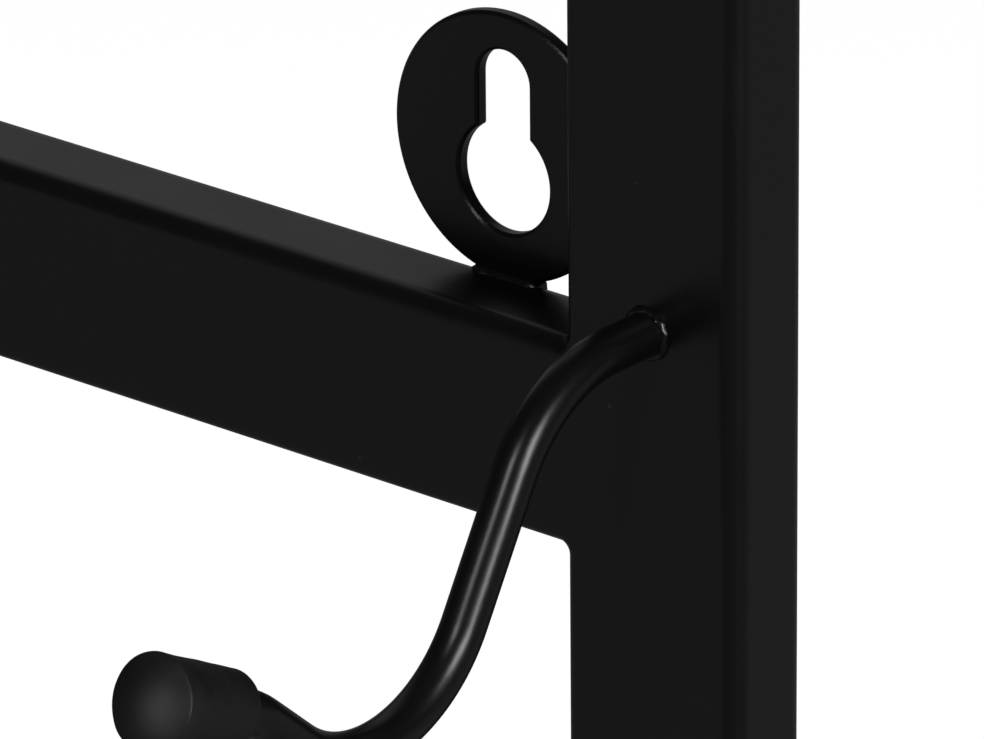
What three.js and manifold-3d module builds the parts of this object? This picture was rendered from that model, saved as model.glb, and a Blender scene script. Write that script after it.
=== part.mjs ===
// A wall rack for one bicycle: a welded ladder frame of rectangular steel tube, keyhole tabs that hang
// it on four screws, two long bent arms that carry the top tube, and two short rod hooks for helmets.
// Millimetres. +X is to the right, +Y goes into the wall, +Z is up. The origin is on the wall, at the
// middle of the upper rail's back face.

import Module from 'manifold-3d';
import * as THREE from 'three';
import { mergeVertices } from 'three/addons/utils/BufferGeometryUtils.js';

const SIDES = { left: -1, right: 1 };

// Frame tube: wide face forward, back face on the wall.
const TUBE = { width: 30, depth: 15, corner: 2.9, wall: 1.5 };
const POST_SPACING = 370;
const POST_TOP = 170;
const POST_BOTTOM = -250;
const RAIL_LEVELS = { upper: 0, lower: -215 };
const RAIL_LENGTH = POST_SPACING - TUBE.width;
const RAIL_WELD_LEG = 2;

// Hanging tabs: round plates stood on the rails beside the posts, each with a keyhole, slot up.
const TAB = { radius: 19.3, thickness: 2.5, fromPost: 35.1, aboveRail: 33.8 };
const KEYHOLE = { headRadius: 7.75, headLevel: 29.3, slotRadius: 4.2, slotLevel: 43.2 };
const TAB_WELD = { length: 12, leg: 1.4 };

// Tube plugs in the posts' open ends.
const PLUG = { head: 1.4, bevel: 0.8, skirt: 12, skirtWall: 1.2, clearance: 0.3 };

// Bent rods, each starting square to its post's front face. A bend's angle is in degrees, positive up.
const HELMET_HOOK = {
  radius: 3.1,
  level: 20,
  steps: 44,
  sides: 12,
  bends: [
    { straight: 8 },
    { bend: -60, radius: 22.5 },
    { straight: 20.3 },
    { bend: 101, radius: 21.7 },
    { straight: 8.9 },
    { bend: -18.3, radius: 18.4 },
  ],
};
const BIKE_ARM = {
  radius: 6.1,
  level: 125,
  steps: 56,
  sides: 14,
  bends: [
    { straight: 215 },
    { bend: -36, radius: 30 },
    { straight: 20 },
    { bend: 78, radius: 32 },
    { straight: 20 },
    { bend: -20, radius: 26 },
  ],
};

// Flared end caps, pushed over the rods' tips. The mouth faces the rod.
const HOOK_CAP = { mouth: 5.4, end: 6.5, length: 17.4, edge: 0.7, bore: 14, gap: 0.9 };
const ARM_CAP = { mouth: 9.6, end: 11.4, length: 27, edge: 1.2, bore: 21, gap: 1.2 };
const CAP_CLEARANCE = 0.3;
const TIP_CLEARANCE = 0.5;

// Rubber sleeve on the cradle of each bike arm, over the arm's third, fourth and fifth stretches.
const SLEEVE = { clearance: 0.3, wall: 2.2, firstStretch: 2, lastStretch: 4, steps: 24 };

// Weld beads round the roots of the rods.
const ROOT_WELD = { clearance: 0.3, leg: 1.7, segments: 20 };

const COATED_STEEL = new THREE.MeshStandardMaterial({ color: 0x141415, roughness: 0.42, metalness: 0.1 });
const WELD_STEEL = new THREE.MeshStandardMaterial({ color: 0x1c1c1d, roughness: 0.38, metalness: 0.1 });
const CAP_PLASTIC = new THREE.MeshStandardMaterial({ color: 0x19191a, roughness: 0.62, metalness: 0 });
const SLEEVE_RUBBER = new THREE.MeshStandardMaterial({ color: 0x171717, roughness: 0.8, metalness: 0 });

const X = new THREE.Vector3(1, 0, 0);
const Y = new THREE.Vector3(0, 1, 0);
const Z = new THREE.Vector3(0, 0, 1);
const LEFT = X.clone().negate();
const FORWARD = Y.clone().negate();
const DOWN = Z.clone().negate();
const ARC_SEGMENTS = 2;
const ROUND_SEGMENTS = 12;

const wasm = await Module();
wasm.setup();

// A solid for the boolean library, made from a closed geometry with its shared vertices merged.
function toSolid(geometry) {
  const bare = geometry.clone();
  bare.deleteAttribute('normal');
  bare.deleteAttribute('uv');
  const merged = mergeVertices(bare, 1e-4);
  const mesh = new wasm.Mesh({
    numProp: 3,
    vertProperties: new Float32Array(merged.attributes.position.array),
    triVerts: new Uint32Array(merged.index.array),
  });
  return new wasm.Manifold(mesh);
}

function fromSolid(solid) {
  const mesh = solid.getMesh();
  const geometry = new THREE.BufferGeometry();
  geometry.setAttribute('position', new THREE.BufferAttribute(mesh.vertProperties, 3));
  geometry.setIndex(new THREE.BufferAttribute(mesh.triVerts, 1));
  geometry.computeVertexNormals();
  return geometry;
}

// Turns a geometry so that its own x, y and z axes lie along three given directions.
function along(geometry, xAxis, yAxis, zAxis) {
  return geometry.applyMatrix4(new THREE.Matrix4().makeBasis(xAxis, yAxis, zAxis));
}

function roundedRectangle(width, height, radius, Kind = THREE.Shape) {
  const outline = new Kind();
  const [x, y] = [width / 2 - radius, height / 2 - radius];
  outline.moveTo(-x, -y - radius);
  outline.lineTo(x, -y - radius);
  outline.absarc(x, -y, radius, -Math.PI / 2, 0, false);
  outline.lineTo(x + radius, y);
  outline.absarc(x, y, radius, 0, Math.PI / 2, false);
  outline.lineTo(-x, y + radius);
  outline.absarc(-x, y, radius, Math.PI / 2, Math.PI, false);
  outline.lineTo(-x - radius, -y);
  outline.absarc(-x, -y, radius, Math.PI, Math.PI * 1.5, false);
  return outline;
}

function circle(radius, Kind = THREE.Shape) {
  const outline = new Kind();
  outline.absarc(0, 0, radius, 0, Math.PI * 2, false);
  return outline;
}

function extrude(shape, depth, curveSegments = ARC_SEGMENTS) {
  return new THREE.ExtrudeGeometry(shape, { depth, curveSegments, bevelEnabled: false });
}

// Hollow rectangular tube of a given length, along its own z.
function tubeGeometry(length) {
  const section = roundedRectangle(TUBE.width, TUBE.depth, TUBE.corner);
  const [width, depth] = [TUBE.width - 2 * TUBE.wall, TUBE.depth - 2 * TUBE.wall];
  section.holes.push(roundedRectangle(width, depth, TUBE.corner - TUBE.wall, THREE.Path));
  return extrude(section, length);
}

// Steel plate outline: a circle cut flat where it stands on the rail, with a keyhole through it.
function tabGeometry() {
  const foot = TUBE.width / 2 - TAB.aboveRail;
  const footAngle = Math.acos(-foot / TAB.radius);
  const outline = new THREE.Shape();
  outline.absarc(0, 0, TAB.radius, -Math.PI / 2 + footAngle, Math.PI * 1.5 - footAngle, false);
  outline.closePath();

  const [head, slot] = [KEYHOLE.headLevel - TAB.aboveRail, KEYHOLE.slotLevel - TAB.aboveRail];
  const neckAngle = Math.acos(KEYHOLE.slotRadius / KEYHOLE.headRadius);
  const neck = head + KEYHOLE.headRadius * Math.sin(neckAngle);
  const keyhole = new THREE.Path();
  keyhole.moveTo(KEYHOLE.slotRadius, neck);
  keyhole.lineTo(KEYHOLE.slotRadius, slot);
  keyhole.absarc(0, slot, KEYHOLE.slotRadius, 0, Math.PI, false);
  keyhole.lineTo(-KEYHOLE.slotRadius, neck);
  keyhole.absarc(0, head, KEYHOLE.headRadius, Math.PI - neckAngle, Math.PI * 2 + neckAngle, false);
  outline.holes.push(keyhole);
  return along(extrude(outline, TAB.thickness, ROUND_SEGMENTS), X, Z, FORWARD);
}

// Fillet bead in front of a tab's foot, along the rail's top.
function tabWeldGeometry() {
  const section = new THREE.Shape();
  section.moveTo(0, 0);
  section.lineTo(TAB_WELD.leg, 0);
  section.lineTo(0, TAB_WELD.leg);
  section.closePath();
  const bead = along(extrude(section, TAB_WELD.length), FORWARD, Z, LEFT);
  return bead.translate(TAB_WELD.length / 2, 0, 0);
}

// Concave fillet bead under a rail's end, in the corner with the post on that side.
function railWeldGeometry(sign) {
  const section = new THREE.Shape();
  section.moveTo(0, 0);
  section.lineTo(0, -RAIL_WELD_LEG);
  section.absarc(RAIL_WELD_LEG, -RAIL_WELD_LEG, RAIL_WELD_LEG, Math.PI, Math.PI / 2, true);
  section.closePath();
  const bead = along(extrude(section, TUBE.depth - 2 * TUBE.corner), X, Z, FORWARD);
  bead.translate(0, -TUBE.corner, 0);
  return sign > 0 ? along(bead, LEFT, FORWARD, Z).translate(0, -TUBE.depth, 0) : bead;
}

// Plug for a post's end: a bevelled head, and a hollow skirt that goes into the tube, along its own z.
function plugGeometry() {
  const { head, bevel, skirt, skirtWall, clearance } = PLUG;
  const inset = roundedRectangle(TUBE.width - 2 * bevel, TUBE.depth - 2 * bevel, TUBE.corner - bevel);
  const cover = new THREE.ExtrudeGeometry(inset, {
    depth: head,
    curveSegments: ARC_SEGMENTS,
    bevelThickness: bevel,
    bevelSize: bevel,
    bevelSegments: 2,
  });
  const lowered = toSolid(cover).trimByPlane([0, 0, 1], 0);

  const bore = TUBE.wall + clearance;
  const [width, depth] = [TUBE.width - 2 * bore, TUBE.depth - 2 * bore];
  const ring = roundedRectangle(width, depth, 1.2);
  ring.holes.push(roundedRectangle(width - 2 * skirtWall, depth - 2 * skirtWall, 0.6, THREE.Path));
  const sleeve = extrude(ring, skirt + head / 2).translate(0, 0, -skirt);
  return fromSolid(lowered.add(toSolid(sleeve)));
}

// An arc in a plane across X, from a start point and heading, turning up or down by an angle.
class Bend extends THREE.Curve {
  constructor(start, heading, angle, radius) {
    super();
    Object.assign(this, { start, heading, angle, radius });
  }

  getPoint(t, target = new THREE.Vector3()) {
    const side = Math.sign(this.angle) * this.radius;
    const turned = this.heading + this.angle * t;
    const forward = side * (Math.sin(turned) - Math.sin(this.heading));
    const up = side * (Math.cos(this.heading) - Math.cos(turned));
    return target.set(this.start.x, this.start.y - forward, this.start.z + up);
  }
}

// Direction in the rod's plane at an angle above the horizontal.
function headingVector(angle) {
  return new THREE.Vector3(0, -Math.cos(angle), Math.sin(angle));
}

// The centreline of a rod that starts at the origin and heads forward: its stretches, and where it ends.
function followBends(bends) {
  const stretches = [];
  let point = new THREE.Vector3();
  let heading = 0;
  for (const { straight, bend, radius } of bends) {
    if (straight) {
      const next = point.clone().addScaledVector(headingVector(heading), straight);
      stretches.push(new THREE.LineCurve3(point, next));
      point = next;
    } else {
      const angle = THREE.MathUtils.degToRad(bend);
      const arc = new Bend(point, heading, angle, radius);
      stretches.push(arc);
      point = arc.getPoint(1);
      heading += angle;
    }
  }
  return { stretches, end: point, heading };
}

function joinStretches(stretches) {
  const path = new THREE.CurvePath();
  stretches.forEach((stretch) => path.add(stretch));
  return path;
}

function sweep(section, stretches, steps, curveSegments) {
  return new THREE.ExtrudeGeometry(section, {
    extrudePath: joinStretches(stretches),
    steps,
    curveSegments,
    bevelEnabled: false,
  });
}

// Round rod along its bends, with a straight tip that goes into the cap.
function rodGeometry(rod, cap) {
  const { bends, steps, sides, radius } = rod;
  const tip = { straight: cap.gap + cap.bore - TIP_CLEARANCE };
  return sweep(circle(radius), followBends([...bends, tip]).stretches, steps, sides / 2);
}

function sleeveGeometry(rod) {
  const section = circle(rod.radius + SLEEVE.clearance + SLEEVE.wall);
  section.holes.push(circle(rod.radius + SLEEVE.clearance, THREE.Path));
  const stretches = followBends(rod.bends).stretches.slice(SLEEVE.firstStretch, SLEEVE.lastStretch + 1);
  return sweep(section, stretches, SLEEVE.steps, rod.sides / 2);
}

// Flared cap with a blind bore, turned about its own y, with its mouth at the origin.
function capGeometry(cap, rod) {
  const bore = rod.radius + CAP_CLEARANCE;
  const { mouth, end, length, edge } = cap;
  const profile = [
    [0, cap.bore],
    [bore, cap.bore],
    [bore, 0],
    [mouth - edge, 0],
    [mouth - edge * 0.3, edge * 0.3],
    [mouth, edge],
    [end, length - edge],
    [end - edge * 0.3, length - edge * 0.3],
    [end - edge, length],
    [0, length],
  ].map(([radius, height]) => new THREE.Vector2(radius, height));
  return new THREE.LatheGeometry(profile, 24);
}

// Bead round a rod's root, turned about its own y, standing on the post's face.
function rootWeldGeometry(rod) {
  const inner = rod.radius + ROOT_WELD.clearance;
  const { leg } = ROOT_WELD;
  const profile = [
    [inner, 0],
    [inner + leg, 0],
    [inner + leg * 0.85, leg * 0.4],
    [inner + leg * 0.4, leg * 0.85],
    [inner, leg],
    [inner, 0],
  ].map(([radius, height]) => new THREE.Vector2(radius, height));
  return along(new THREE.LatheGeometry(profile, ROOT_WELD.segments), X, FORWARD, DOWN);
}

function addMesh(parent, name, geometry, material, position = [0, 0, 0]) {
  const mesh = new THREE.Mesh(geometry, material);
  mesh.name = name;
  mesh.position.set(...position);
  parent.add(mesh);
  return mesh;
}

// A bent rod welded to a post's front, with its root bead and its end cap.
function addRod(parent, name, rod, cap, x) {
  const group = new THREE.Group();
  group.position.set(x, -TUBE.depth, rod.level);
  addMesh(group, name, rodGeometry(rod, cap), COATED_STEEL);
  addMesh(group, `${name}_weld`, rootWeldGeometry(rod), WELD_STEEL);
  const { end, heading } = followBends(rod.bends);
  const direction = headingVector(heading);
  const cover = addMesh(group, `${name}_cap`, capGeometry(cap, rod), CAP_PLASTIC);
  cover.position.copy(end).addScaledVector(direction, cap.gap);
  cover.quaternion.setFromUnitVectors(Y, direction);
  parent.add(group);
  return group;
}

function addPost(rack, side, x) {
  const tube = tubeGeometry(POST_TOP - POST_BOTTOM);
  const middle = -TUBE.depth / 2;
  addMesh(rack, `${side}_post`, tube, COATED_STEEL, [x, middle, POST_BOTTOM]);
  addMesh(rack, `${side}_post_top_plug`, plugGeometry(), CAP_PLASTIC, [x, middle, POST_TOP]);
  const under = along(plugGeometry(), X, FORWARD, DOWN);
  addMesh(rack, `${side}_post_bottom_plug`, under, CAP_PLASTIC, [x, middle, POST_BOTTOM]);
}

function addRail(rack, name, level) {
  const tube = along(tubeGeometry(RAIL_LENGTH), Z, FORWARD, X);
  addMesh(rack, `${name}_rail`, tube, COATED_STEEL, [-RAIL_LENGTH / 2, -TUBE.depth / 2, level]);
}

// What joins a rail to one post: the bead under its end, the hanging tab, and the tab's own bead.
function addRailEnd(rack, side, rail, level) {
  const sign = SIDES[side];
  const tabX = sign * (POST_SPACING / 2 - TAB.fromPost);
  const railTop = level + TUBE.width / 2;
  addMesh(rack, `${rail}_${side}_tab`, tabGeometry(), COATED_STEEL, [tabX, 0, level + TAB.aboveRail]);
  const beadPlace = [tabX, -TAB.thickness, railTop];
  addMesh(rack, `${rail}_${side}_tab_weld`, tabWeldGeometry(), WELD_STEEL, beadPlace);

  const corner = [(sign * RAIL_LENGTH) / 2, 0, level - TUBE.width / 2];
  addMesh(rack, `${rail}_${side}_rail_weld`, railWeldGeometry(sign), WELD_STEEL, corner);
}

const rack = new THREE.Group();
for (const [side, sign] of Object.entries(SIDES)) {
  const x = (sign * POST_SPACING) / 2;
  addPost(rack, side, x);
  addRod(rack, `${side}_helmet_hook`, HELMET_HOOK, HOOK_CAP, x);
  const arm = addRod(rack, `${side}_bike_arm`, BIKE_ARM, ARM_CAP, x);
  addMesh(arm, `${side}_bike_arm_sleeve`, sleeveGeometry(BIKE_ARM), SLEEVE_RUBBER);
}
for (const [rail, level] of Object.entries(RAIL_LEVELS)) {
  addRail(rack, rail, level);
  for (const side of Object.keys(SIDES)) {
    addRailEnd(rack, side, rail, level);
  }
}

export default rack;
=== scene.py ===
"""Looks of a bicycle wall rack: coated tube frame, keyhole tabs, rod hooks and arms, caps and sleeves."""

import math

import bmesh
import bpy
from mathutils import Matrix, Vector, noise


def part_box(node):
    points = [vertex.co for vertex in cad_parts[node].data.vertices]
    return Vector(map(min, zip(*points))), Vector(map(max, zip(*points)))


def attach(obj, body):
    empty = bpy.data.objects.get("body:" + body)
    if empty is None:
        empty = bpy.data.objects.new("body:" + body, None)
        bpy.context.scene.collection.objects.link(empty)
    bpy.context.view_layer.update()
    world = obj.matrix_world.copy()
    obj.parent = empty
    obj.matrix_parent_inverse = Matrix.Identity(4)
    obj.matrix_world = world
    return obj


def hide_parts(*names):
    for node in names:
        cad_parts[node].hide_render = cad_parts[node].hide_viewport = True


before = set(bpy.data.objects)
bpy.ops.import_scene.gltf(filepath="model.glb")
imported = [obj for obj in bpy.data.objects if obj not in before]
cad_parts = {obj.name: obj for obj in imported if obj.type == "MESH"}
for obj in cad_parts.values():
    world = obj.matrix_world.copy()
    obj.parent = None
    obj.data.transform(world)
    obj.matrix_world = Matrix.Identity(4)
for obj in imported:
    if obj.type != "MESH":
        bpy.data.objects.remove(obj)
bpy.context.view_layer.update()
MM = 0.001

# Sizes in millimetres. Outside, the tube, tabs, rods, caps and sleeves are within 0.5 mm of the CAD's.
TUBE = {"width": 30.0, "depth": 15.0, "corner": 2.9, "wall": 1.5}
POST_END_EDGE = 0.3
# How far from its end a rail is straight again.
COPE_LENGTH = 6
TAB = {"radius": 19.1, "thickness": 2.5, "above_rail": 33.8, "back_edge": 1.0, "inward": 0.15}
# The tab's front edge is a small chamfer that the coat rounds: stretches of (degrees, degrees, arc length).
TAB_FRONT_EDGE = ((0, 34.5, 0.2), (34.5, 42.5, 0.4), (42.5, 90, 0.28))
KEYHOLE = {"head_radius": 7.85, "head_level": 29.3, "slot_radius": 4.43, "slot_level": 43.2}
# A flat gets a row of points this far in from its rounded edge, so that it shades flat.
SUPPORT = 0.3
# Radius of the concave weld under and over a rail's end.
FILLETS = {"bottom": 1.1, "top": 0.9}
# The bead at a tab's foot: lumps are (place, half width, share of lump_size).
TAB_BEAD = {
    "half_length": 5.8,
    "size": 0.8,
    "lump_size": 0.22,
    "lumps": ((-4.2, 1.1, 1.0), (4.5, 0.9, 0.8)),
    "sway": 0.16,
    "sunk": 0.9,
}
# A plug's profile as (inset, height above the tube's end): skirt, underside and side, then the crowned top.
PLUG_SIDE = ((2.0, -11.9), (1.95, 0.0), (0.25, 0.0), (0.05, 0.2), (0.0, 0.5), (0.0, 1.0))
PLUG_TOP = ((2.6, 2.1), (4.5, 2.17), (7.0, 2.2))
PLUG_EDGE = {"width": 1.1, "height": 1.0}
SIDES = {"left": -1, "right": 1}
RAILS = ("upper", "lower")

# Rods: ("straight", length) or ("bend", degrees up, radius).
HOOK = {
    "radius": 3.1,
    "bends": [
        ("straight", 8),
        ("bend", -60, 22.5),
        ("straight", 20.3),
        ("bend", 101, 21.7),
        ("straight", 8.9),
        ("bend", -18.3, 18.4),
    ],
}
ARM = {
    "radius": 6.1,
    "bends": [
        ("straight", 215),
        ("bend", -36, 30),
        ("straight", 20),
        ("bend", 78, 32),
        ("straight", 20),
        ("bend", -20, 26),
    ],
}
# Caps: radii at the mouth and the end, and the gap is the bare rod between the last bend and the mouth.
HOOK_CAP = {"mouth": 5.4, "end": 6.5, "length": 17.4, "shoulder": 1.5, "rim": 0.35, "dome": 0.8, "gap": 0.9}
ARM_CAP = {"mouth": 9.6, "end": 11.4, "length": 27.0, "shoulder": 2.4, "rim": 1.3, "dome": 1.1, "gap": 1.2}
# Shares of a cap's length: how deep its bore is, and how far the rod goes in.
BORE_DEPTH, ROD_DEPTH = 0.75, 0.7
# The sleeve covers the arm's bends from first to last. Its lips are plain, and rounded at the very end.
SLEEVE = {
    "wall": 2.0,
    "rib": 0.45,
    "pitch": 3.2,
    "first": 2,
    "last": 4,
    "lip": 3.0,
    "round_length": 0.9,
    "round_depth": 0.7,
    "step": 0.4,
}
# Vertex attribute for the painted highlight on a cap's end: a pale patch in place of the soft highlight
# there.
HIGHLIGHT_ATTRIBUTE = "painted_highlight"
# Where that patch is and how far it fades, in shares of the end's radius.
HIGHLIGHT_SPOT = {"across": 0.3, "above": -0.06, "fade": 0.5}

# Linear colours.
COAT_BLACK = (0.0042, 0.0042, 0.0045)
COAT_DUST = (0.035, 0.035, 0.036)
PLASTIC_PLAIN = (0.0085, 0.0085, 0.0087)
PLASTIC_RUBBED = (0.0125, 0.0125, 0.0127)
# The pale colour of the painted highlight on a cap's end.
PLASTIC_HIGHLIGHT = (0.07, 0.07, 0.071)
RUBBER_PLAIN = (0.0105, 0.0105, 0.0105)
RUBBER_BLOOM = (0.019, 0.019, 0.0185)

# The camera's view: what it aims at and how far off it stands, in metres, its angles, and its lens in
# millimetres.
AIM = Vector((0.15715, -0.01382, 0.00714))
AZIMUTH = math.radians(40.298)
ELEVATION = math.radians(22.586)
ROLL = math.radians(-0.479)
DISTANCE = 1.357
SENSOR = 36.0
LENS = 370.7


# ---------------------------------------------------------------- mesh building


def add_piece(name, bm, material, replaced, sharp=38.0):
    """A finished piece of the rack from a bmesh in millimetres: smooth, with its sharp edges marked."""
    bmesh.ops.remove_doubles(bm, verts=bm.verts, dist=1e-4)
    bmesh.ops.recalc_face_normals(bm, faces=bm.faces)
    bmesh.ops.scale(bm, vec=(MM, MM, MM), verts=bm.verts)
    for face in bm.faces:
        face.smooth = True
    for edge in bm.edges:
        if len(edge.link_faces) == 2 and edge.calc_face_angle() > math.radians(sharp):
            edge.smooth = False
    mesh = bpy.data.meshes.new(name)
    bm.to_mesh(mesh)
    bm.free()
    piece = bpy.data.objects.new(name, mesh)
    bpy.context.scene.collection.objects.link(piece)
    mesh.materials.append(material)
    weighted = piece.modifiers.new("even_flats", "WEIGHTED_NORMAL")
    weighted.keep_sharp = True
    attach(piece, "root")
    if replaced:
        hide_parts(*replaced)
    return piece


def loft(bm, rings, ends="capped"):
    """Quads between closed rings of points. Its ends are capped, open, or joined to each other."""
    rows = [[bm.verts.new(point) for point in ring] for ring in rings]
    count = len(rows[0])
    following = rows[1:] + rows[:1] if ends == "joined" else rows[1:]
    for a, b in zip(rows, following):
        for i in range(count):
            j = (i + 1) % count
            bm.faces.new((a[i], a[j], b[j], b[i]))
    if ends == "capped":
        bm.faces.new(reversed(rows[0]))
        bm.faces.new(rows[-1])
    return rows


def rounded_section(width, depth, radius, inset=0.0, per_corner=12, support=0.25):
    """Points round a rectangle with round corners, with a support point near each end of its flats."""
    corner = max(radius - inset, 0.05)
    half_w, half_d = width / 2 - inset, depth / 2 - inset
    points = []
    for quarter, (sx, sy) in enumerate(((1, 1), (-1, 1), (-1, -1), (1, -1))):
        cx, cy = sx * (half_w - corner), sy * (half_d - corner)
        for i in range(per_corner + 1):
            angle = math.radians(90 * (quarter + i / per_corner))
            points.append((cx + corner * math.cos(angle), cy + corner * math.sin(angle)))
        last, ahead = points[-1], math.radians(90 * (quarter + 2))
        step = (math.cos(ahead), math.sin(ahead))
        span = (2 * (half_w - corner)) if quarter % 2 == 0 else (2 * (half_d - corner))
        for along in (support, span - support):
            points.append((last[0] + step[0] * along, last[1] + step[1] * along))
    return points


def cope(depth_from_face):
    """How far a rail's end reaches round the post's rounded corner, at a depth behind the front face."""
    radius = TUBE["corner"]
    depth = max(0.0, min(depth_from_face, TUBE["depth"] - depth_from_face))
    if depth >= radius:
        return 0.0
    return radius - math.sqrt(max(radius**2 - (radius - depth) ** 2, 0.0))


def walk_bends(bends, step):
    """Stations (forward, up, heading, length) on a rod's centreline, and the length at each bend's end."""
    forward, up, heading, length = 0.0, 0.0, 0.0, 0.0
    stations = [(forward, up, heading, length)]
    marks = [0.0]
    for bend in bends:
        if bend[0] == "straight":
            count = max(2, round(bend[1] / (step * 3)))
            for i in range(1, count + 1):
                along = bend[1] * i / count
                ahead, rise = math.cos(heading) * along, math.sin(heading) * along
                stations.append((forward + ahead, up + rise, heading, length + along))
        else:
            angle, radius = math.radians(bend[1]), bend[2]
            side = math.copysign(radius, angle)
            arc = abs(angle) * radius
            count = max(4, round(arc / step))
            for i in range(1, count + 1):
                turned = heading + angle * i / count
                ahead = side * (math.sin(turned) - math.sin(heading))
                rise = side * (math.cos(heading) - math.cos(turned))
                stations.append((forward + ahead, up + rise, turned, length + arc * i / count))
        forward, up, heading, length = stations[-1]
        marks.append(length)
    return stations, marks


def ring_at(centre, heading, radius, root, sides):
    """A circle of points round a rod's centreline. centre is (forward, up) from the rod's root."""
    forward, up = centre
    middle = Vector((root[0], root[1] - forward, root[2] + up))
    across = Vector((1, 0, 0))
    above = Vector((0, math.sin(heading), math.cos(heading)))
    turn = [2 * math.pi * i / sides for i in range(sides)]
    return [middle + (across * math.cos(t) + above * math.sin(t)) * radius for t in turn]


def wobble(point, scale, seed):
    """Smooth noise from -1 to 1, the same each run."""
    return noise.noise(Vector(point) / scale + Vector((seed * 7.3, seed * 3.1, seed * 11.7)))


# ---------------------------------------------------------------- materials


def new_material(name, base, roughness, specular=0.5):
    material = bpy.data.materials.new(name)
    material.use_nodes = True
    nodes = material.node_tree.nodes
    shader = nodes["Principled BSDF"]
    shader.inputs["Base Color"].default_value = (*base, 1)
    shader.inputs["Roughness"].default_value = roughness
    shader.inputs["Specular IOR Level"].default_value = specular
    place = nodes.new("ShaderNodeTexCoord")
    return material, material.node_tree, shader, place.outputs["Object"]


def noise_node(tree, place, scale, detail=2.0, roughness=0.5):
    node = tree.nodes.new("ShaderNodeTexNoise")
    node.inputs["Scale"].default_value = scale
    node.inputs["Detail"].default_value = detail
    node.inputs["Roughness"].default_value = roughness
    tree.links.new(place, node.inputs["Vector"])
    return node.outputs["Fac"]


def map_range(tree, value, limits, results, smooth=False):
    """Goes from the first result to the second as the value goes from one limit to the other."""
    node = tree.nodes.new("ShaderNodeMapRange")
    if smooth:
        node.interpolation_type = "SMOOTHSTEP"
    for name, number in zip(("From Min", "From Max", "To Min", "To Max"), (*limits, *results)):
        node.inputs[name].default_value = number
    tree.links.new(value, node.inputs["Value"])
    return node.outputs["Result"]


def mix_colors(tree, factor, first, second):
    """Blends two colours. The first is a colour or another node's output."""
    node = tree.nodes.new("ShaderNodeMix")
    node.data_type = "RGBA"
    if isinstance(first, tuple):
        node.inputs["A"].default_value = (*first, 1)
    else:
        tree.links.new(first, node.inputs["A"])
    node.inputs["B"].default_value = (*second, 1)
    tree.links.new(factor, node.inputs["Factor"])
    return node.outputs["Result"]


def dot_with(tree, vector, heading):
    """Dot product of a vector output and a fixed direction."""
    node = tree.nodes.new("ShaderNodeVectorMath")
    node.operation = "DOT_PRODUCT"
    node.inputs[1].default_value = heading
    tree.links.new(vector, node.inputs[0])
    return node.outputs["Value"]


def multiply(tree, first, second):
    """Product of two outputs, of which the first may be a plain number."""
    node = tree.nodes.new("ShaderNodeMath")
    node.operation = "MULTIPLY"
    if isinstance(first, float):
        node.inputs[0].default_value = first
    else:
        tree.links.new(first, node.inputs[0])
    tree.links.new(second, node.inputs[1])
    return node.outputs["Value"]


def add_bumps(tree, shader, layers):
    """Bump layers of (height, strength, distance in metres), each on top of the one before."""
    normal = None
    for height, strength, distance in layers:
        node = tree.nodes.new("ShaderNodeBump")
        node.inputs["Strength"].default_value = strength
        node.inputs["Distance"].default_value = distance
        tree.links.new(height, node.inputs["Height"])
        if normal is not None:
            tree.links.new(normal, node.inputs["Normal"])
        normal = node.outputs["Normal"]
    tree.links.new(normal, shader.inputs["Normal"])


def powder_coat(name="powder_coat", roughness=0.3, peel=0.16):
    """Satin black powder coat: fine orange peel, faint gloss changes and a few specks of dust."""
    material, tree, shader, place = new_material(name, COAT_BLACK, roughness)
    drift = noise_node(tree, place, 60.0, 3.0)
    gloss = map_range(tree, drift, (0.3, 0.7), (roughness - 0.03, roughness + 0.03))
    tree.links.new(gloss, shader.inputs["Roughness"])
    specks = tree.nodes.new("ShaderNodeTexVoronoi")
    specks.inputs["Scale"].default_value = 90.0
    tree.links.new(place, specks.inputs["Vector"])
    dust = map_range(tree, specks.outputs["Distance"], (0.018, 0.03), (1.0, 0.0))
    tree.links.new(mix_colors(tree, dust, COAT_BLACK, COAT_DUST), shader.inputs["Base Color"])
    fine = noise_node(tree, place, 1500.0, 1.0)
    broad = noise_node(tree, place, 420.0, 1.0)
    add_bumps(tree, shader, [(broad, peel, 0.00012), (fine, peel * 0.8, 0.00003)])
    return material


def cap_plastic():
    """Matte moulded plastic, slightly uneven and greyer where it is rubbed, with a painted highlight as a
    pale patch on the cap's end.
    """
    material, tree, shader, place = new_material("cap_plastic", (0.0095, 0.0095, 0.0097), 0.5, 0.42)
    rub = noise_node(tree, place, 170.0, 4.0, 0.6)
    tree.links.new(map_range(tree, rub, (0.35, 0.7), (0.44, 0.58)), shader.inputs["Roughness"])
    rubbed = map_range(tree, rub, (0.4, 0.75), (0.0, 1.0))
    plain = mix_colors(tree, rubbed, PLASTIC_PLAIN, PLASTIC_RUBBED)
    # Painted highlight: the vertex attribute mixes in a pale patch on the cap's end, in place of the soft
    # highlight there.
    tip = tree.nodes.new("ShaderNodeAttribute")
    tip.attribute_name = HIGHLIGHT_ATTRIBUTE
    tree.links.new(mix_colors(tree, tip.outputs["Fac"], plain, PLASTIC_HIGHLIGHT), shader.inputs["Base Color"])
    grain = noise_node(tree, place, 2600.0, 2.0)
    lumps = noise_node(tree, place, 260.0, 2.0)
    add_bumps(tree, shader, [(lumps, 0.35, 0.0002), (grain, 0.2, 0.00004)])
    return material


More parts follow.
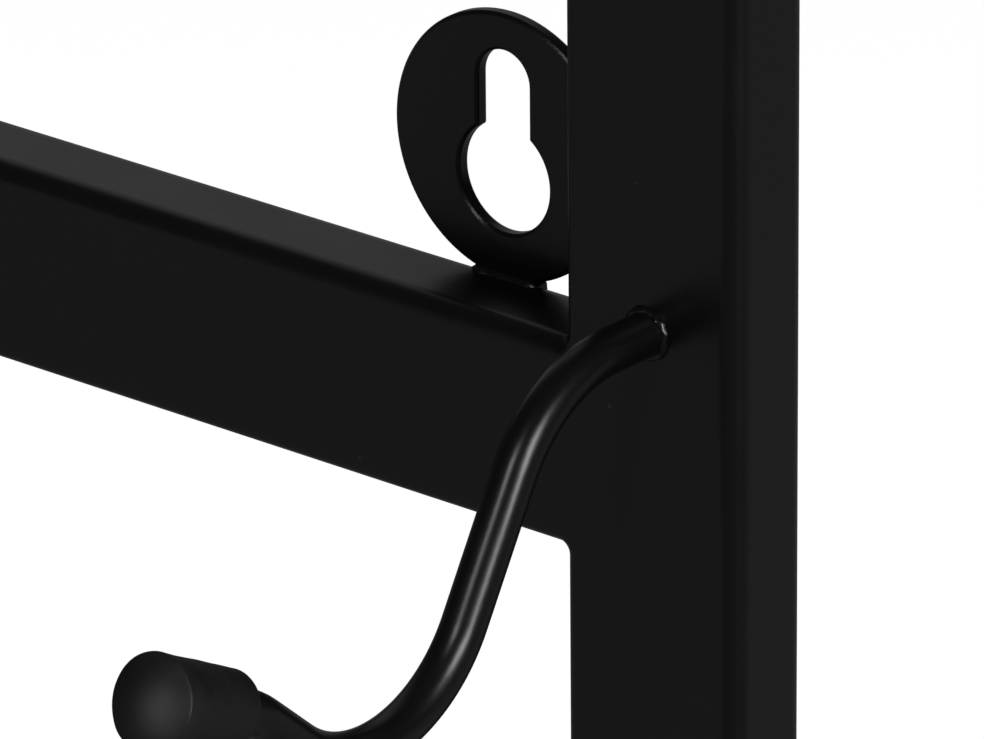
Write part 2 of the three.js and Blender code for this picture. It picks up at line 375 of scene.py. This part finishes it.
def sleeve_rubber():
    """Dull black rubber with a fine grain and a trace of grey bloom."""
    material, tree, shader, place = new_material("sleeve_rubber", (0.013, 0.013, 0.013), 0.72, 0.35)
    bloom = noise_node(tree, place, 90.0, 5.0, 0.65)
    share = map_range(tree, bloom, (0.4, 0.75), (0.0, 1.0))
    tree.links.new(mix_colors(tree, share, RUBBER_PLAIN, RUBBER_BLOOM), shader.inputs["Base Color"])
    tree.links.new(map_range(tree, bloom, (0.35, 0.7), (0.66, 0.8)), shader.inputs["Roughness"])
    grain = noise_node(tree, place, 3200.0, 2.0)
    add_bumps(tree, shader, [(grain, 0.3, 0.00005)])
    return material


STEEL = powder_coat()
WELD = powder_coat("coated_weld", roughness=0.24, peel=0.3)
PLASTIC = cap_plastic()
RUBBER = sleeve_rubber()


# ---------------------------------------------------------------- the frame's tubes


def millimetres(corner):
    return [value / MM for value in corner]


def build_post(side):
    node = f"{side}_post"
    low, high = (millimetres(corner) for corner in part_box(node))
    x, y = (low[0] + high[0]) / 2, (low[1] + high[1]) / 2
    edge = POST_END_EDGE
    stations = (
        (0.0, low[2] + edge),
        (0.0, high[2] - edge),
        (edge, high[2]),
        (TUBE["wall"] - edge, high[2]),
        (TUBE["wall"], high[2] - edge),
        (TUBE["wall"], low[2] + edge),
        (TUBE["wall"] - edge, low[2]),
        (edge, low[2]),
    )
    bm = bmesh.new()
    rings = [
        [(x + u, y + v, z) for u, v in rounded_section(TUBE["width"], TUBE["depth"], TUBE["corner"], inset)]
        for inset, z in stations
    ]
    loft(bm, rings, ends="joined")
    add_piece(node + "_tube", bm, STEEL, [node])


def build_rail(rail):
    """The rail's ends reach round the posts' rounded corners, as weld ground flush with the front does."""
    node = f"{rail}_rail"
    low, high = (millimetres(corner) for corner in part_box(node))
    middle_y, middle_z = (low[1] + high[1]) / 2, (low[2] + high[2]) / 2
    outer = rounded_section(TUBE["width"], TUBE["depth"], TUBE["corner"])
    inner = rounded_section(TUBE["width"], TUBE["depth"], TUBE["corner"], TUBE["wall"])

    def ring(section, x, reach):
        return [
            (x + reach * cope(TUBE["depth"] / 2 + v), middle_y + v, middle_z + u) for u, v in section
        ]

    bm = bmesh.new()
    rings = [
        ring(outer, low[0], -1),
        ring(outer, low[0] + COPE_LENGTH, 0),
        ring(outer, high[0] - COPE_LENGTH, 0),
        ring(outer, high[0], 1),
        ring(inner, high[0], 0),
        ring(inner, low[0], 0),
    ]
    loft(bm, rings, ends="joined")
    add_piece(node + "_tube", bm, STEEL, [node])


def corner_stations(per_corner=14, per_flat=20):
    """(depth behind the tube's front face, inset of its outline there) from the front to the back."""
    radius, depth = TUBE["corner"], TUBE["depth"]
    turn = [math.radians(90 * i / per_corner) for i in range(per_corner + 1)]
    front = [(radius * (1 - math.cos(t)), radius * (1 - math.sin(t))) for t in turn]
    flat = depth - 2 * radius
    middle = [(radius + flat * i / per_flat, 0.0) for i in range(1, per_flat)]
    return [*front, *middle, *[(depth - y, inset) for y, inset in reversed(front)]]


def build_rail_weld(rail, side, face):
    """Weld in the corner of a rail and a post: a concave fillet, ground flush with their front and back."""
    sign, toward_rail = SIDES[side], {"top": -1, "bottom": 1}[face]
    low, high = (millimetres(corner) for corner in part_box(f"{rail}_rail"))
    end = high[0] if sign > 0 else low[0]
    edge = high[2] if face == "top" else low[2]
    rings = []
    for behind, inset in corner_stations():
        y = low[1] + behind
        hidden = 0.3 * (1 - inset / TUBE["corner"])
        radius = FILLETS[face] * (1 + 0.07 * (1 - inset / TUBE["corner"]) * wobble((y, end, edge), 2.3, 3))
        centre = (end - sign * radius, edge - toward_rail * radius)
        arc = []
        for degrees in range(0, 91, 9):
            turn, reach = math.radians(degrees), radius + inset
            x = centre[0] + sign * reach * math.sin(turn)
            arc.append((x, y, centre[1] + toward_rail * reach * math.cos(turn)))
        root = (end + sign * (inset + hidden), y, edge + toward_rail * (inset + hidden))
        rings.append([root, *arc])
    bm = bmesh.new()
    loft(bm, rings)
    replaced = [f"{rail}_{side}_rail_weld"] if face == "bottom" else []
    add_piece(f"{rail}_{side}_rail_{face}_bead", bm, STEEL, replaced, sharp=60)


# ---------------------------------------------------------------- hanging tabs


def keyhole_outline(grow):
    """The keyhole's outline round the tab's middle, grown outwards: head circle, then slot."""
    head, slot = KEYHOLE["head_level"] - TAB["above_rail"], KEYHOLE["slot_level"] - TAB["above_rail"]
    head_radius, slot_radius = KEYHOLE["head_radius"] + grow, KEYHOLE["slot_radius"] + grow
    neck = math.acos(slot_radius / head_radius)
    points = []
    for i in range(73):
        angle = math.pi - neck + (math.pi + 2 * neck) * i / 72
        points.append((head_radius * math.cos(angle), head + head_radius * math.sin(angle)))
    neck_top = points[-1][1]
    points += [(slot_radius, neck_top + (slot - neck_top) * i / 8) for i in range(1, 8)]
    for i in range(33):
        angle = math.pi * i / 32
        points.append((slot_radius * math.cos(angle), slot + slot_radius * math.sin(angle)))
    points += [(-slot_radius, slot + (neck_top - slot) * i / 8) for i in range(1, 8)]
    return points


def disc_outline(shrink):
    radius = TAB["radius"] - shrink
    turn = [2 * math.pi * i / 144 for i in range(144)]
    return [(radius * math.cos(t), radius * math.sin(t)) for t in turn]


def front_edge_profile(per_stretch=5):
    """(inset, depth) from the front face, round the tab's edge, to its side wall."""
    inset, depth = 0.0, 0.0
    points = [(inset, depth)]
    for start, stop, arc in TAB_FRONT_EDGE:
        for i in range(per_stretch):
            angle = math.radians(start + (stop - start) * (i + 0.5) / per_stretch)
            inset -= math.cos(angle) * arc / per_stretch
            depth += math.sin(angle) * arc / per_stretch
            points.append((inset, depth))
    return [(value - inset, down) for value, down in points]


def build_tab(rail, side):
    """A round plate with a keyhole. All its edges are rounded by the coat."""
    node = f"{rail}_{side}_tab"
    low, high = (millimetres(corner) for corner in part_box(node))
    middle = (low[0] + high[0]) / 2
    x, z = middle - math.copysign(TAB["inward"], middle), low[2] - TUBE["width"] / 2 + TAB["above_rail"]
    rear = TAB["back_edge"]
    turn = [math.radians(10 * i) for i in range(10)]
    front = front_edge_profile()
    levels = [(front[0][0] + SUPPORT, -TAB["thickness"])]
    levels += [(inset, depth - TAB["thickness"]) for inset, depth in front]
    levels += [(rear * (1 - math.sin(t)), -rear * (1 - math.cos(t))) for t in reversed(turn)]
    levels += [(rear + SUPPORT, 0.0)]
    bm = bmesh.new()
    walls = []
    for outline in (disc_outline, keyhole_outline):
        rings = [[(x + u, y, z + v) for u, v in outline(inset)] for inset, y in levels]
        walls.append(loft(bm, rings, ends="open"))
    bm.edges.ensure_lookup_table()
    for level in (0, -1):
        border = []
        for row in (wall[level] for wall in walls):
            border += [bm.edges.get((vertex, row[(i + 1) % len(row)])) for i, vertex in enumerate(row)]
        bmesh.ops.triangle_fill(bm, use_beauty=True, use_dissolve=False, edges=border)
    add_piece(node + "_plate", bm, STEEL, [node], sharp=50)


def build_tab_weld(rail, side):
    """The bead that joins a tab's foot to the rail: a low fillet in front, blunt at its ends."""
    node = f"{rail}_{side}_tab_weld"
    low, high = (millimetres(corner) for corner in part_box(node))
    x, z = (low[0] + high[0]) / 2, low[2]
    half, sunk, steps, arc_steps = TAB_BEAD["half_length"], TAB_BEAD["sunk"], 56, 8
    rings = []
    for i in range(steps + 1):
        along = half * math.sin(math.pi * (i / steps - 0.5))
        taper = math.sqrt(max(1 - (abs(along) / half) ** 4, 0.0))
        lump = sum(share * math.exp(-(((along - at) / wide) ** 2)) for at, wide, share in TAB_BEAD["lumps"])
        sway = TAB_BEAD["sway"] * wobble((along, low[2], x), 1.6, 5)
        size = (TAB_BEAD["size"] + TAB_BEAD["lump_size"] * lump + sway) * taper + 0.03
        foot = TAB["above_rail"] - TUBE["width"] / 2 - math.sqrt(TAB["radius"] ** 2 - along**2)
        crest = z + max(foot, 0.0) * taper + 0.25 * taper
        front = -TAB["thickness"] - size
        ring = [(x + along, -0.4, z - sunk), (x + along, front, z - sunk), (x + along, front, z - 0.1)]
        for step in range(1, arc_steps + 1):
            turn = math.radians(90 * step / arc_steps)
            bulge = 1 + 0.3 * math.sin(2 * turn)
            y = front + size * (1 - math.cos(turn)) ** bulge
            ring.append((x + along, y, z - 0.1 + (size * 0.9 + 0.1) * math.sin(turn) ** (1 + bulge)))
        ring += [(x + along, 1.0 - TAB["thickness"], crest + size * 0.4), (x + along, -0.5, crest)]
        rings.append(ring)
    bm = bmesh.new()
    loft(bm, rings)
    add_piece(f"{rail}_{side}_tab_bead", bm, STEEL, [node], sharp=70)


# ---------------------------------------------------------------- rods, beads, caps and sleeves


def rod_root(node):
    """Where a rod leaves the post, in millimetres, from its weld bead's box."""
    low, high = (millimetres(corner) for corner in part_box(node + "_weld"))
    return ((low[0] + high[0]) / 2, high[1], (low[2] + high[2]) / 2)


def build_rod(node, rod, cap, sides):
    root = rod_root(node)
    tip = ("straight", cap["gap"] + cap["length"] * ROD_DEPTH)
    stations, _ = walk_bends([*rod["bends"], tip], step=0.6)
    bm = bmesh.new()
    loft(bm, [ring_at((f, u), h, rod["radius"], root, sides) for f, u, h, _ in stations])
    add_piece(node + "_rod", bm, STEEL, [node])


def build_root_bead(node, rod, leg):
    """Weld round a rod's root: a thin bead, uneven as the welder's hand moved."""
    root = rod_root(node)
    around, across = 160, 10
    rows = []
    for i in range(around):
        turn = 2 * math.pi * i / around
        spot = (math.cos(turn) * rod["radius"], math.sin(turn) * rod["radius"], root[0])
        ripple = 0.07 * math.sin(turn * 13 + 2.4 * wobble(spot, 2.5, 2))
        size = leg * (1 + 0.42 * wobble(spot, 1.9, 9) + ripple)
        height = leg * (1.1 + 0.4 * wobble(spot, 1.5, 4) - ripple)
        row = [(rod["radius"] - 0.3, 0.0)]
        for step in range(across):
            t = math.radians(90 * step / (across - 1))
            bulge = 0.88 + 0.1 * math.sin(2 * t)
            reach = rod["radius"] - 0.05 + size * bulge * math.cos(t) ** 1.2
            row.append((reach, height * bulge * math.sin(t) ** 1.2))
        row.append((rod["radius"] - 0.3, height * 0.8))
        rows.append(
            [(root[0] + r * math.cos(turn), root[1] - h, root[2] + r * math.sin(turn)) for r, h in row]
        )
    bm = bmesh.new()
    loft(bm, rows, ends="joined")
    add_piece(node + "_bead", bm, WELD, [node + "_weld"], sharp=80)


# How many of a cap profile's points, from the first, lie in its bore.
BORE_POINTS = 4


def cap_profile(cap, bore):
    """(radius, height) from the bore's bottom, round the mouth and the side, to the middle of the end."""
    mouth, end, length = cap["mouth"], cap["end"], cap["length"]
    shoulder, rim, dome = cap["shoulder"], cap["rim"], cap["dome"]
    bottom = length * BORE_DEPTH
    points = [(0.0, bottom), (bore, bottom), (bore, 0.35), (bore + 0.3, 0.0)]
    for i in range(9):
        angle = math.radians(90 * i / 8)
        points.append((mouth - shoulder * (1 - math.sin(angle)), shoulder * (1 - math.cos(angle))))
    side_end = length - dome - rim
    for i in range(1, 21):
        t = i / 20
        points.append((mouth + (end - mouth) * t, shoulder + (side_end - shoulder) * t))
    for i in range(1, 8):
        angle = math.radians(80 * i / 7)
        points.append((end - rim * (1 - math.cos(angle)), side_end + rim * math.sin(angle)))
    radius, height = points[-1]
    for i in range(1, 17):
        t = i / 16
        points.append((radius * (1 - t), height + (length - height) * (1 - (1 - t) ** 2)))
    return points


def build_cap(node, rod, cap, seed):
    """A flared cap on a rod's tip, a little uneven, with its painted highlight stored on its vertices."""
    root = rod_root(node)
    stations, _ = walk_bends([*rod["bends"], ("straight", cap["gap"])], step=1.0)
    forward, up, heading, _ = stations[-1]
    axis = Vector((0, -math.cos(heading), math.sin(heading)))
    mouth = Vector((root[0], root[1] - forward, root[2] + up))
    across, above = Vector((1, 0, 0)), Vector((0, math.sin(heading), math.cos(heading)))
    sides = 96
    rings = []
    for index, (radius, height) in enumerate(cap_profile(cap, rod["radius"] + 0.02)):
        ring = []
        for i in range(sides):
            turn = 2 * math.pi * i / sides
            out = across * math.cos(turn) + above * math.sin(turn)
            point = mouth + axis * height + out * radius
            if index >= BORE_POINTS:
                sway = out * 0.13 * min(radius / 2, 1) + axis * 0.05
                point += sway * wobble(point, 3.2, seed) - axis * 0.05
            ring.append(point)
        rings.append(ring)
    bm = bmesh.new()
    loft(bm, rings)
    piece = add_piece(node + "_end_cap", bm, PLASTIC, [node + "_cap"], sharp=60)
    # Painted highlight: a pale patch on the cap's end, strongest at its spot and fading away from it.
    aside = across * HIGHLIGHT_SPOT["across"] + above * HIGHLIGHT_SPOT["above"]
    spot = mouth + axis * cap["length"] + aside * cap["end"]
    highlight_layer = piece.data.attributes.new(HIGHLIGHT_ATTRIBUTE, "FLOAT", "POINT")
    for vertex, item in zip(piece.data.vertices, highlight_layer.data):
        away = (vertex.co / MM - spot).length / cap["end"]
        item.value = math.exp(-((away / HIGHLIGHT_SPOT["fade"]) ** 2))


def sleeve_radius(rod, edge):
    """The sleeve's outer radius at a distance from its nearer end: rounded, plain lip, then ribs."""
    near = 1 - min(edge / SLEEVE["round_length"], 1.0)
    rounding = SLEEVE["round_depth"] * (1 - math.sqrt(max(1 - near**2, 0.0)))
    rib = 0.0
    if edge > SLEEVE["lip"]:
        phase = 2 * math.pi * (edge - SLEEVE["lip"]) / SLEEVE["pitch"]
        rib = SLEEVE["rib"] * (0.5 + 0.5 * math.cos(phase)) ** 0.6
        rib -= SLEEVE["rib"]
    return rod["radius"] + SLEEVE["wall"] - rounding + rib


def build_sleeve(node, rod):
    """Ribbed rubber round the arm's cradle, with a plain lip at each end."""
    root = rod_root(node)
    stations, marks = walk_bends(rod["bends"], step=SLEEVE["step"])
    start, stop = marks[SLEEVE["first"]], marks[SLEEVE["last"] + 1]
    even = []
    for first, second in zip(stations, stations[1:]):
        count = max(1, round((second[3] - first[3]) / SLEEVE["step"]))
        for i in range(count):
            even.append(tuple(a + (b - a) * i / count for a, b in zip(first, second)))
    outer = []
    for forward, up, heading, length in even:
        if start <= length <= stop:
            radius = sleeve_radius(rod, min(length - start, stop - length))
            outer.append(ring_at((forward, up), heading, radius, root, 64))
    # The inner wall goes back through the rod's skin, with a ring for every eighth ring of the outside.
    inner = []
    for ring in (outer[-1], *outer[-9:4:-8], outer[0]):
        middle = sum((Vector(p) for p in ring), Vector()) / len(ring)
        inner.append([middle + (Vector(p) - middle).normalized() * (rod["radius"] - 0.05) for p in ring])
    bm = bmesh.new()
    loft(bm, [*outer, *inner], ends="joined")
    add_piece(node + "_cradle_sleeve", bm, RUBBER, [node + "_sleeve"], sharp=50)


def build_plug(side, end):
    """A post's plug: a domed head that covers the tube's end, and its skirt inside the tube."""
    node = f"{side}_post_{end}_plug"
    low, high = (millimetres(corner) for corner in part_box(node))
    x, y = (low[0] + high[0]) / 2, (low[1] + high[1]) / 2
    up = 1 if end == "top" else -1
    seat = (high[2] if up > 0 else low[2]) - up * PLUG_TOP[-1][1]
    turn = [math.radians(90 * i / 7) for i in range(1, 8)]
    wide, tall, start = PLUG_EDGE["width"], PLUG_EDGE["height"], PLUG_SIDE[-1][1]
    edge = [(wide * (1 - math.cos(t)), start + tall * math.sin(t)) for t in turn]
    rings = [
        [
            (x + u, y + v, seat + up * height)
            for u, v in rounded_section(TUBE["width"], TUBE["depth"], TUBE["corner"], inset)
        ]
        for inset, height in (*PLUG_SIDE, *edge, *PLUG_TOP)
    ]
    bm = bmesh.new()
    loft(bm, rings)
    add_piece(node + "_cover", bm, PLASTIC, [node], sharp=45)


for side in SIDES:
    build_post(side)
    for end in ("top", "bottom"):
        build_plug(side, end)
for rail in RAILS:
    build_rail(rail)
    for side in SIDES:
        for face in FILLETS:
            build_rail_weld(rail, side, face)
        build_tab(rail, side)
        build_tab_weld(rail, side)
for seed, side in enumerate(SIDES, start=1):
    for node, rod, cap, sides, leg in (
        (f"{side}_helmet_hook", HOOK, HOOK_CAP, 48, 0.85),
        (f"{side}_bike_arm", ARM, ARM_CAP, 64, 1.8),
    ):
        build_rod(node, rod, cap, sides)
        build_root_bead(node, rod, leg)
        build_cap(node, rod, cap, seed)
    build_sleeve(f"{side}_bike_arm", ARM)


# ---------------------------------------------------------------- camera, stage and light


def direction(azimuth, elevation):
    return Vector(
        (
            math.sin(azimuth) * math.cos(elevation),
            -math.cos(azimuth) * math.cos(elevation),
            math.sin(elevation),
        )
    )


def build_camera():
    data = bpy.data.cameras.new("camera")
    data.sensor_width = SENSOR
    data.lens = LENS
    data.clip_start, data.clip_end = 0.05, 60.0
    camera = bpy.data.objects.new("camera", data)
    back = direction(AZIMUTH, ELEVATION)
    look = (-back).to_track_quat("-Z", "Y").to_matrix().to_4x4()
    camera.matrix_world = Matrix.Translation(AIM + back * DISTANCE) @ look @ Matrix.Rotation(ROLL, 4, "Z")
    bpy.context.scene.collection.objects.link(camera)
    bpy.context.scene.camera = camera


FLOOR_LEVEL = -0.62
FLOOR_SIZE = 60.0
FLOOR_PAINT = (0.82, 0.82, 0.82)
FLOOR_SEEN = 0.85
# The floor's light in reflections, and how it falls off towards two azimuths: (azimuth in degrees, cosines
# between which it falls, share of the light that is left).
FLOOR_REFLECTED = 0.155
DIM_SECTORS = ((50, (0.25, 0.7), 0.52), (-88, (0.72, 0.95), 0.62))
# The surroundings in reflections: a dark room, with a paler wall round one direction and only on the left.
ROOM = {"dark": 0.04, "wall": 0.31}
WALL_AZIMUTH, WALL_ELEVATION = math.radians(-150), math.radians(18)
WALL_COSINES = (0.56, 0.93)
WALL_LEFT = (-0.1, -0.42)


def show_by_ray(tree, seen, reflected, output):
    """The first shader for the camera, and the second for all other rays."""
    ray = tree.nodes.new("ShaderNodeLightPath")
    choose = tree.nodes.new("ShaderNodeMixShader")
    tree.links.new(ray.outputs["Is Camera Ray"], choose.inputs["Fac"])
    tree.links.new(reflected.outputs[0], choose.inputs[1])
    tree.links.new(seen.outputs[0], choose.inputs[2])
    tree.links.new(choose.outputs[0], output.inputs["Surface"])


def pale_floor():
    """Pale as seen. In reflections it glows dimly, and dimmer still towards the azimuths of DIM_SECTORS."""
    material = bpy.data.materials.new("pale_floor")
    material.use_nodes = True
    tree = material.node_tree
    tree.nodes.clear()
    paint = tree.nodes.new("ShaderNodeBsdfDiffuse")
    paint.inputs["Color"].default_value = (*FLOOR_PAINT, 1)
    glow = tree.nodes.new("ShaderNodeEmission")
    glow.inputs["Strength"].default_value = FLOOR_SEEN
    seen = tree.nodes.new("ShaderNodeAddShader")
    tree.links.new(paint.outputs[0], seen.inputs[0])
    tree.links.new(glow.outputs[0], seen.inputs[1])
    place = tree.nodes.new("ShaderNodeTexCoord")
    outward = tree.nodes.new("ShaderNodeVectorMath")
    outward.operation = "NORMALIZE"
    tree.links.new(place.outputs["Object"], outward.inputs[0])
    strength = FLOOR_REFLECTED
    for azimuth, limits, left in DIM_SECTORS:
        toward = dot_with(tree, outward.outputs["Vector"], direction(math.radians(azimuth), 0.0))
        strength = multiply(tree, strength, map_range(tree, toward, limits, (1.0, left), smooth=True))
    reflected = tree.nodes.new("ShaderNodeEmission")
    tree.links.new(strength, reflected.inputs["Strength"])
    show_by_ray(tree, seen, reflected, tree.nodes.new("ShaderNodeOutputMaterial"))
    return material


def build_floor():
    bm = bmesh.new()
    bmesh.ops.create_grid(bm, x_segments=1, y_segments=1, size=FLOOR_SIZE / 2)
    mesh = bpy.data.meshes.new("floor")
    bm.to_mesh(mesh)
    bm.free()
    floor = bpy.data.objects.new("floor", mesh)
    floor.location = (AIM.x, AIM.y, FLOOR_LEVEL)
    bpy.context.scene.collection.objects.link(floor)
    mesh.materials.append(pale_floor())


def build_world():
    """White surroundings as seen, and the room in reflections."""
    world = bpy.data.worlds.new("studio")
    world.use_nodes = True
    bpy.context.scene.world = world
    tree = world.node_tree
    tree.nodes.clear()
    place = tree.nodes.new("ShaderNodeTexCoord").outputs["Generated"]
    parts = tree.nodes.new("ShaderNodeSeparateXYZ")
    tree.links.new(place, parts.inputs[0])
    toward = dot_with(tree, place, direction(WALL_AZIMUTH, WALL_ELEVATION))
    near = map_range(tree, toward, WALL_COSINES, (0.0, 1.0), smooth=True)
    left = map_range(tree, parts.outputs["X"], WALL_LEFT, (0.0, 1.0), smooth=True)
    wall = multiply(tree, near, left)
    strength = map_range(tree, wall, (0.0, 1.0), (ROOM["dark"], ROOM["wall"]), smooth=True)
    reflected = tree.nodes.new("ShaderNodeBackground")
    tree.links.new(strength, reflected.inputs["Strength"])
    seen = tree.nodes.new("ShaderNodeBackground")
    seen.inputs["Strength"].default_value = 1.0
    show_by_ray(tree, seen, reflected, tree.nodes.new("ShaderNodeOutputWorld"))


def softbox(name, azimuth, elevation, distance, width, height, radiance, glossy=True):
    """A rectangular area light aimed at the rack, with the radiance that its face shows."""
    data = bpy.data.lights.new(name, "AREA")
    data.shape = "RECTANGLE"
    data.size, data.size_y = width, height
    data.energy = radiance * math.pi * width * height
    light = bpy.data.objects.new(name, data)
    away = direction(math.radians(azimuth), math.radians(elevation))
    turned = away.to_track_quat("Z", "Y").to_matrix().to_4x4()
    light.matrix_world = Matrix.Translation(AIM + away * distance) @ turned
    light.visible_camera = False
    light.visible_glossy = glossy
    bpy.context.scene.collection.objects.link(light)


build_camera()
build_floor()
build_world()
softbox("right_softbox", azimuth=76, elevation=18, distance=1.6, width=0.42, height=0.8, radiance=12.0)
softbox("front_softbox", azimuth=10, elevation=34, distance=1.6, width=0.34, height=0.42, radiance=8.9)
softbox("left_glow", azimuth=-20, elevation=10, distance=1.6, width=0.4, height=0.36, radiance=0.9)
# Lights the tops of the pieces, and isn't seen in reflections.
softbox(
    "overhead",
    azimuth=60,
    elevation=88,
    distance=2.4,
    width=1.6,
    height=1.6,
    radiance=1.6,
    glossy=False,
)

view = bpy.context.scene.view_settings
view.view_transform = "Standard"
view.look = "None"
